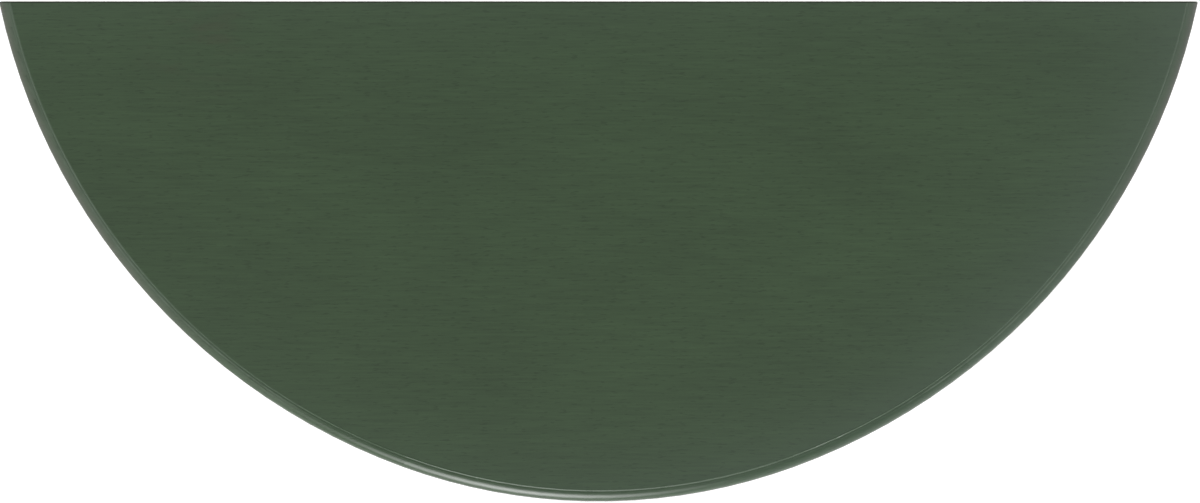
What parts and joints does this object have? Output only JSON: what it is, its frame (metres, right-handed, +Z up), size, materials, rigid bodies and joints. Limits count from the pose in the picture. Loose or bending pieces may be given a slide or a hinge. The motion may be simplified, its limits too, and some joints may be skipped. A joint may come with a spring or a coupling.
{
  "type": "demilune table",
  "caption": "Demilune side table: a flat-backed, D-shaped moulded top on a bowed apron and slim square tapered legs, for standing against a wall.",
  "frame": {"origin": "on the floor, under the middle of the top's bounding box", "axes": "+Z up; +X along the straight back edge, to the right seen from the front; +Y towards the wall, so the bow faces -Y"},
  "size_m": [0.9132, 0.3809, 0.762],
  "materials": {
    "painted_wood": "satin dark green paint over open-pored hardwood",
    "bare_wood": "planed, unpainted hardwood",
    "screw_steel": "zinc-plated steel",
    "nylon": "moulded nylon"
  },
  "bodies": {
    "root": {"top_panel": "painted_wood", "bow_apron": "painted_wood", "back_rail": "painted_wood", "apron_bead_left": "painted_wood", "apron_bead_front": "painted_wood", "apron_bead_right": "painted_wood", "leg_front_left": "painted_wood", "leg_front_right": "painted_wood", "leg_rear_left": "painted_wood", "leg_rear_right": "painted_wood", "centre_brace": "bare_wood", "corner_block_left": "bare_wood", "corner_block_right": "bare_wood", "top_buttons": "bare_wood", "button_screws": "screw_steel", "bridle_screws": "screw_steel", "corner_block_screws": "screw_steel", "glide_front_left": "nylon", "glide_front_right": "nylon", "glide_rear_left": "nylon", "glide_rear_right": "nylon", "glide_nails": "screw_steel"}
  },
  "joints": []
}
